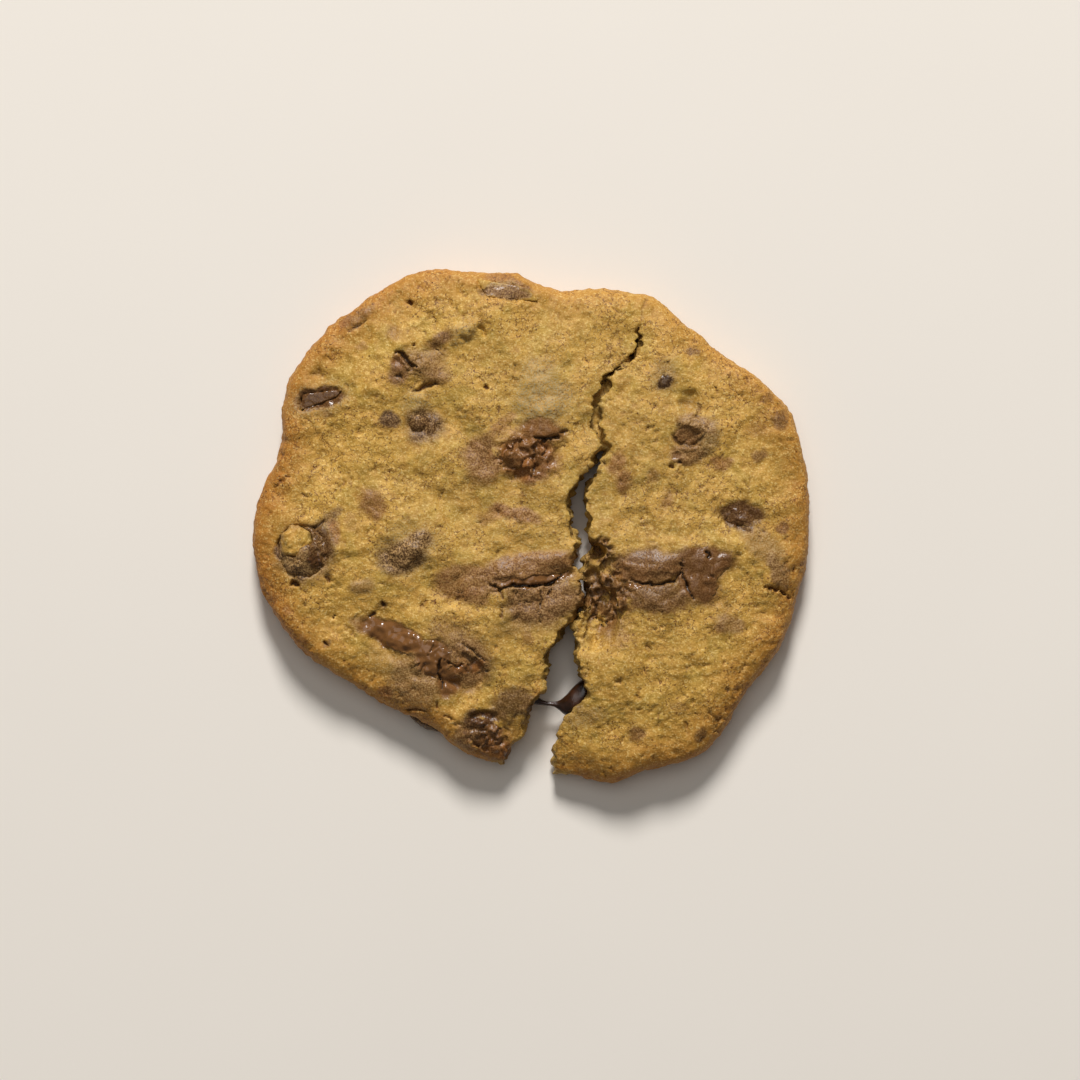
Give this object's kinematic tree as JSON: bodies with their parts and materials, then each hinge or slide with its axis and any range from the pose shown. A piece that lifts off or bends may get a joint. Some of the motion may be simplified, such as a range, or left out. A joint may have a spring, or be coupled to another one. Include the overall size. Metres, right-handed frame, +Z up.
{
  "type": "chocolate chip cookie",
  "caption": "Flat round baked chocolate chip cookie with an uneven rim, split from one edge almost to the other, with melted chocolate drawn across the gap.",
  "frame": {"origin": "middle of the cookie's outline, on the surface it lies on", "axes": "+X across the cookie at right angles to the split, +Y along the split from its open mouth to its blind end, +Z up"},
  "size_m": [0.0923, 0.0852, 0.0101],
  "materials": {
    "baked_dough": "matte, grainy, golden brown and browner at the rim",
    "milk_brown_chocolate": "satin, partly melted and broken",
    "dark_chocolate": "satin to glossy where it has melted"
  },
  "bodies": {
    "root": {"cookie": "baked_dough", "dough_crumb": "baked_dough", "chunk_middle": "milk_brown_chocolate", "chunk_band_left": "milk_brown_chocolate", "chunk_band_right": "milk_brown_chocolate", "chunk_band_end": "milk_brown_chocolate", "chunk_lower_left": "milk_brown_chocolate", "chunk_tip": "milk_brown_chocolate", "chunk_upper_right": "milk_brown_chocolate", "chunk_fold": "milk_brown_chocolate", "chunk_mid_left": "dark_chocolate", "chunk_right": "dark_chocolate", "slice_left_rim": "dark_chocolate", "slice_top_rim": "dark_chocolate", "chunk_under_rim": "dark_chocolate", "chip_left": "dark_chocolate", "chip_upper_left": "dark_chocolate", "chocolate_strand": "dark_chocolate"}
  },
  "joints": []
}
